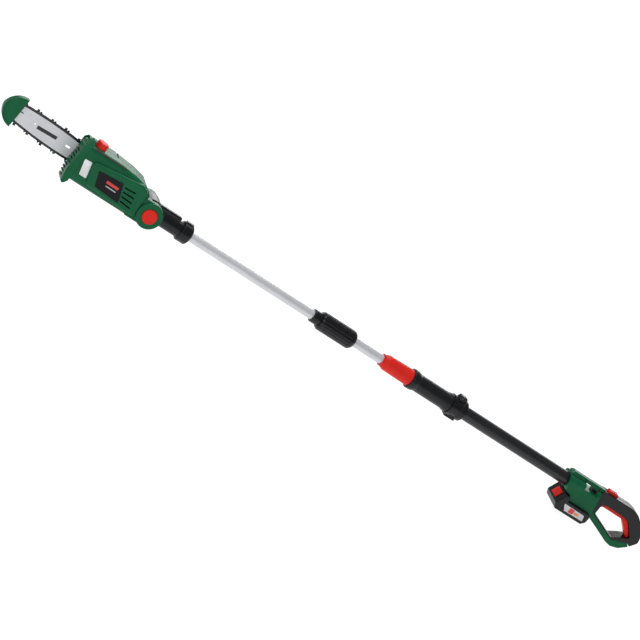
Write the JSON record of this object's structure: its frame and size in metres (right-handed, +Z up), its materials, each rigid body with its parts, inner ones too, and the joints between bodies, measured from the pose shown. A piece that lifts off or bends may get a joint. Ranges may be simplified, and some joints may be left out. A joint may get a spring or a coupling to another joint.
{
  "type": "telescoping pole saw",
  "caption": "Cordless telescoping pole saw: tilting saw head with guarded bar and chain, twist-locked pole, loop handle with trigger and slide-in battery.",
  "frame": {"origin": "bottom centre of the whole tool's box, under the pole's axis", "axes": "+X along the pole from saw head to handle, +Z up, +Y the user's right-hand side as the tool lies flat; the guide bar is parallel to X and Z"},
  "size_m": [1.9998, 0.1, 0.1611],
  "materials": {
    "green_plastic": "fine moulded texture, satin",
    "red_plastic": "moulded, satin",
    "black_plastic": "moulded, satin",
    "soft_grip": "soft-touch overmould",
    "anodised_tube": "clear anodised, drawn",
    "black_tube": "black anodised, satin",
    "bar_steel": "ground, lightly brushed",
    "chain_steel": "dark oiled steel",
    "machined_steel": "turned",
    "gear_steel": "cut teeth",
    "motor_can_steel": "zinc plated",
    "spring_steel": "drawn wire",
    "screw_steel": "black zinc",
    "tank_plastic": "translucent, milky",
    "seal_rubber": "soft seal",
    "badge": "printed plate, gloss",
    "label": "silver printed label",
    "cell_wrap": "shrink wrap",
    "contact_brass": "stamped contacts in a moulded block"
  },
  "bodies": {
    "handle": {"outer_tube": "black_tube", "front_grip": "soft_grip", "rear_collar": "black_plastic", "lock_collet": "black_plastic", "handle_shell_left": "green_plastic", "handle_shell_right": "green_plastic", "slot_posts": "black_plastic", "grip_shell_left": "soft_grip", "grip_shell_right": "soft_grip", "handle_screws": "screw_steel", "trigger_pin": "machined_steel", "trigger_spring": "spring_steel", "switch_module": "black_plastic", "battery_terminals": "contact_brass"},
    "lock_ring": {"lock_collar": "red_plastic"},
    "mid_pole": {"mid_tube": "anodised_tube", "glide_bush": "black_plastic", "coupling_body": "black_plastic", "upper_tube": "anodised_tube", "socket_collar": "black_plastic", "pole_socket": "black_plastic"},
    "coupling_ring": {"coupling_sleeve": "black_plastic"},
    "head": {"head_shell_left": "green_plastic", "head_shell_right": "green_plastic", "head_screws": "screw_steel", "side_badge": "badge", "oil_tank": "tank_plastic", "oil_pump": "black_plastic", "sprocket_cover": "green_plastic", "bar_stud": "machined_steel", "bar_side_plates": "bar_steel", "bar_core": "bar_steel", "bar_rivets": "bar_steel", "drive_links": "chain_steel", "tie_straps": "chain_steel", "cutters": "chain_steel", "chain_rivets": "chain_steel", "shaft_bearings": "machined_steel", "idler_pin": "machined_steel", "motor_can": "motor_can_steel", "pivot_pin": "machined_steel", "pivot_cap": "black_plastic", "tilt_spring": "spring_steel"},
    "tilt_lock": {"tilt_button": "red_plastic"},
    "cap_seal": {"oil_cap_seal": "seal_rubber"},
    "filler_cap": {"oil_cap": "red_plastic"},
    "clamp_knob": {"cover_knob": "red_plastic"},
    "nose_guard": {"tip_guard": "green_plastic"},
    "nose_wheel": {"nose_sprocket": "machined_steel"},
    "drive_wheel": {"drive_sprocket": "machined_steel", "sprocket_shaft": "machined_steel", "sprocket_gear": "gear_steel"},
    "idler": {"idler_gear": "gear_steel"},
    "rotor": {"motor_shaft": "gear_steel"},
    "trigger_lever": {"trigger": "red_plastic"},
    "lock_off": {"lock_off_button": "red_plastic"},
    "battery": {"battery_case": "black_plastic", "battery_cells": "cell_wrap", "battery_label": "label"},
    "battery_latch": {"battery_release": "red_plastic"}
  },
  "joints": [
    {"name": "pole_slide", "type": "slide", "parent": "handle", "child": "mid_pole", "axis": [-1, 0, 0], "range_m": [-0.08, 0.35]},
    {"name": "lock_turn", "type": "hinge", "parent": "handle", "child": "lock_ring", "pos_m": [0.11899, 0, 0.08168], "axis": [1, 0, 0], "range_deg": [0, 60]},
    {"name": "coupling_turn", "type": "hinge", "parent": "mid_pole", "child": "coupling_ring", "pos_m": [0.11899, 0, 0.08168], "axis": [1, 0, 0], "range_deg": [0, 90]},
    {"name": "head_tilt", "type": "hinge", "parent": "mid_pole", "child": "head", "pos_m": [-0.58501, 0, 0.08168], "axis": [0, 1, 0], "range_deg": [-60, 30]},
    {"name": "tilt_press", "type": "slide", "parent": "head", "child": "tilt_lock", "axis": [0, 1, 0], "range_m": [0, 0.005], "stiffness_N_per_m": 1500, "springref_m": -0.002, "deforming": ["tilt_spring"]},
    {"name": "cap_lift", "type": "slide", "parent": "head", "child": "cap_seal", "axis": [0, 0, 1], "range_m": [0, 0.03]},
    {"name": "cap_turn", "type": "hinge", "parent": "cap_seal", "child": "filler_cap", "pos_m": [-0.76701, -0.015, 0.14568], "axis": [0, 0, 1], "range_deg": [0, 540]},
    {"name": "knob_turn", "type": "hinge", "parent": "head", "child": "clamp_knob", "pos_m": [-0.78098, 0.045, 0.09929], "axis": [0, 1, 0], "range_deg": [0, 360]},
    {"name": "guard_slide", "type": "slide", "parent": "head", "child": "nose_guard", "axis": [-0.9993, 0, 0.0384], "range_m": [0, 0.06]},
    {"name": "nose_spin", "type": "hinge", "parent": "head", "child": "nose_wheel", "pos_m": [-0.96046, 0.008, 0.10618], "axis": [0, 1, 0], "continuous": true},
    {"name": "motor_spin", "type": "hinge", "parent": "head", "child": "rotor", "pos_m": [-0.68601, 0, 0.09768], "axis": [0, 1, 0], "continuous": true},
    {"name": "idler_spin", "type": "hinge", "parent": "head", "child": "idler", "pos_m": [-0.71201, 0, 0.09768], "axis": [0, 1, 0], "continuous": true},
    {"name": "sprocket_spin", "type": "hinge", "parent": "head", "child": "drive_wheel", "pos_m": [-0.73901, 0.008, 0.09768], "axis": [0, 1, 0], "continuous": true},
    {"name": "trigger_press", "type": "hinge", "parent": "handle", "child": "trigger_lever", "pos_m": [0.85099, 0, 0.08618], "axis": [0, -1, 0], "range_deg": [0, 3], "stiffness_Nm_per_rad": 4, "springref_deg": -2.86, "deforming": ["trigger_spring"]},
    {"name": "lock_off_slide", "type": "slide", "parent": "handle", "child": "lock_off", "axis": [-1, 0, 0], "range_m": [0, 0.005], "stiffness_N_per_m": 600, "springref_m": -0.002},
    {"name": "battery_slide", "type": "slide", "parent": "handle", "child": "battery", "axis": [-1, 0, 0], "range_m": [0, 0.1]},
    {"name": "latch_press", "type": "slide", "parent": "battery", "child": "battery_latch", "axis": [0.9265, 0, -0.3764], "range_m": [0, 0.0014], "stiffness_N_per_m": 2000, "springref_m": -0.001}
  ],
  "couplings": [
    {"joint": "idler_spin", "follows": "motor_spin", "ratio": -0.3},
    {"joint": "sprocket_spin", "follows": "motor_spin", "ratio": 0.12632}
  ]
}
